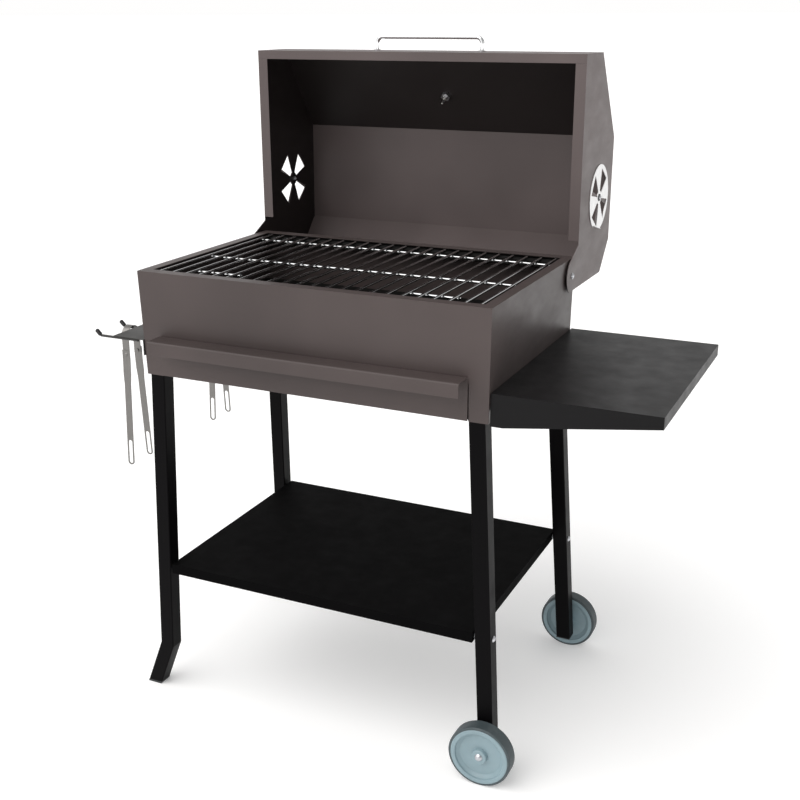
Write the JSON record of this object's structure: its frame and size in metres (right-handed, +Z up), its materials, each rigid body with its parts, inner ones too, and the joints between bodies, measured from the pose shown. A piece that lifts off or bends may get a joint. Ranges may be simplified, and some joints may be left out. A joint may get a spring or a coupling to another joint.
{
  "type": "charcoal barbecue cart",
  "caption": "Folded sheet-steel charcoal barbecue on a tube-leg cart: hinged vented lid, wire cooking grate, ash drawer, side shelf, tool prongs with tongs and a lower shelf.",
  "frame": {"origin": "on the ground under the middle of the whole cart's bounding box, lid open", "axes": "+X towards the side shelf and the wheels, +Y towards the back where the open lid leans, +Z up from the ground"},
  "size_m": [1.0972, 0.727, 1.2985],
  "materials": {
    "enamel": "semi-gloss dark brown-grey heat-proof enamel",
    "black_paint": "semi-gloss black powder coat",
    "dark_steel": "matt black heat-proof paint",
    "chrome_wire": "bright chrome plating",
    "chrome": "polished chrome plating",
    "zinc": "bright zinc plating",
    "stainless": "brushed stainless steel",
    "vent_steel": "bright plated steel",
    "cap_plastic": "matt black plastic",
    "sleeve_plastic": "soft black vinyl",
    "tyre_plastic": "blue-grey rubber",
    "wheel_plastic": "light blue-grey plastic",
    "dial_white": "matt off-white",
    "needle_black": "matt black",
    "gauge_glass": "clear"
  },
  "bodies": {
    "cart": {"firebox": "enamel", "floor_pan": "enamel", "cooking_ledges": "dark_steel", "charcoal_ledges": "dark_steel", "drawer_runners": "dark_steel", "leg_front_left": "black_paint", "leg_back_left": "black_paint", "leg_front_right": "black_paint", "leg_back_right": "black_paint", "leg_plates": "black_paint", "plate_bolts": "zinc", "leg_caps": "cap_plastic", "lower_shelf": "black_paint", "shelf_bolts": "zinc", "m6_nuts": "zinc", "spacers": "zinc", "side_shelf": "black_paint", "tool_rack": "dark_steel", "prongs": "dark_steel", "prong_tips": "sleeve_plastic", "panel_screws": "zinc", "hinge_bolts": "zinc", "axle_bosses": "black_paint", "axle_bolts": "zinc", "axle_washers": "zinc", "axle_nuts": "zinc"},
    "lid": {"lid_wrap": "enamel", "lid_end_left": "enamel", "lid_end_right": "enamel", "lid_handle": "chrome", "handle_screws": "zinc", "thermometer_case": "chrome", "thermometer_bezel": "chrome", "thermometer_dial": "dial_white", "thermometer_glass": "gauge_glass", "thermometer_stem": "stainless", "thermometer_nut": "zinc", "vent_screws": "zinc", "vent_washers": "cap_plastic", "vent_nuts": "zinc"},
    "needle": {"thermometer_needle": "needle_black"},
    "vent_left": {"vent_disc_left": "vent_steel"},
    "vent_right": {"vent_disc_right": "vent_steel"},
    "drawer": {"drawer_tray": "enamel", "drawer_front": "enamel"},
    "cooking_grate": {"grate_bars": "chrome_wire", "grate_rods": "chrome_wire"},
    "charcoal_tray": {"charcoal_grate": "dark_steel"},
    "front_wheel": {"tyre_front": "tyre_plastic", "wheel_front": "wheel_plastic"},
    "rear_wheel": {"tyre_rear": "tyre_plastic", "wheel_rear": "wheel_plastic"},
    "tongs_front": {"tongs_front_spring": "stainless", "tongs_front_arm": "stainless"},
    "tongs_front_leg": {"tongs_front_jaw": "stainless"},
    "tongs_rear": {"tongs_rear_spring": "stainless", "tongs_rear_arm": "stainless"},
    "tongs_rear_leg": {"tongs_rear_jaw": "stainless"}
  },
  "joints": [
    {"name": "lid_hinge", "type": "hinge", "parent": "cart", "child": "lid", "pos_m": [-0.087, 0.1045, 0.857], "axis": [1, 0, 0], "range_deg": [0, 90]},
    {"name": "vent_left_turn", "type": "hinge", "parent": "lid", "child": "vent_left", "pos_m": [-0.4423, 0.2655, 0.986], "axis": [1, 0, 0], "range_deg": [-40, 5]},
    {"name": "vent_right_turn", "type": "hinge", "parent": "lid", "child": "vent_right", "pos_m": [0.2683, 0.2655, 0.986], "axis": [1, 0, 0], "range_deg": [-12, 33]},
    {"name": "needle_turn", "type": "hinge", "parent": "lid", "child": "needle", "pos_m": [-0.087, 0.31826, 1.17757], "axis": [0, -0.8305, -0.557], "range_deg": [0, 260]},
    {"name": "drawer_slide", "type": "slide", "parent": "cart", "child": "drawer", "axis": [0, -1, 0], "range_m": [0, 0.34]},
    {"name": "cooking_grate_lift", "type": "slide", "parent": "cart", "child": "cooking_grate", "axis": [0, 0, -1], "range_m": [-0.3, 0]},
    {"name": "charcoal_tray_lift", "type": "slide", "parent": "cart", "child": "charcoal_tray", "axis": [0, 0, -1], "range_m": [-0.07, 0]},
    {"name": "front_wheel_spin", "type": "hinge", "parent": "cart", "child": "front_wheel", "pos_m": [0.26678, -0.3374, 0.06], "axis": [0, 1, 0], "continuous": true},
    {"name": "rear_wheel_spin", "type": "hinge", "parent": "cart", "child": "rear_wheel", "pos_m": [0.26678, 0.20422, 0.06], "axis": [0, 1, 0], "continuous": true},
    {"name": "tongs_front_swing", "type": "hinge", "parent": "cart", "child": "tongs_front", "pos_m": [-0.5245, -0.247, 0.7542], "axis": [1, 0, 0], "range_deg": [-25, 25]},
    {"name": "tongs_front_squeeze", "type": "hinge", "parent": "tongs_front", "child": "tongs_front_leg", "pos_m": [-0.5245, -0.2296, 0.7022], "axis": [-1, 0, 0], "range_deg": [0, 5], "stiffness_Nm_per_rad": 0.6, "springref_deg": -8.02},
    {"name": "tongs_rear_swing", "type": "hinge", "parent": "cart", "child": "tongs_rear", "pos_m": [-0.5245, 0.047, 0.7542], "axis": [1, 0, 0], "range_deg": [-25, 25]},
    {"name": "tongs_rear_squeeze", "type": "hinge", "parent": "tongs_rear", "child": "tongs_rear_leg", "pos_m": [-0.5245, 0.0644, 0.7022], "axis": [-1, 0, 0], "range_deg": [0, 5], "stiffness_Nm_per_rad": 0.6, "springref_deg": -8.02}
  ]
}
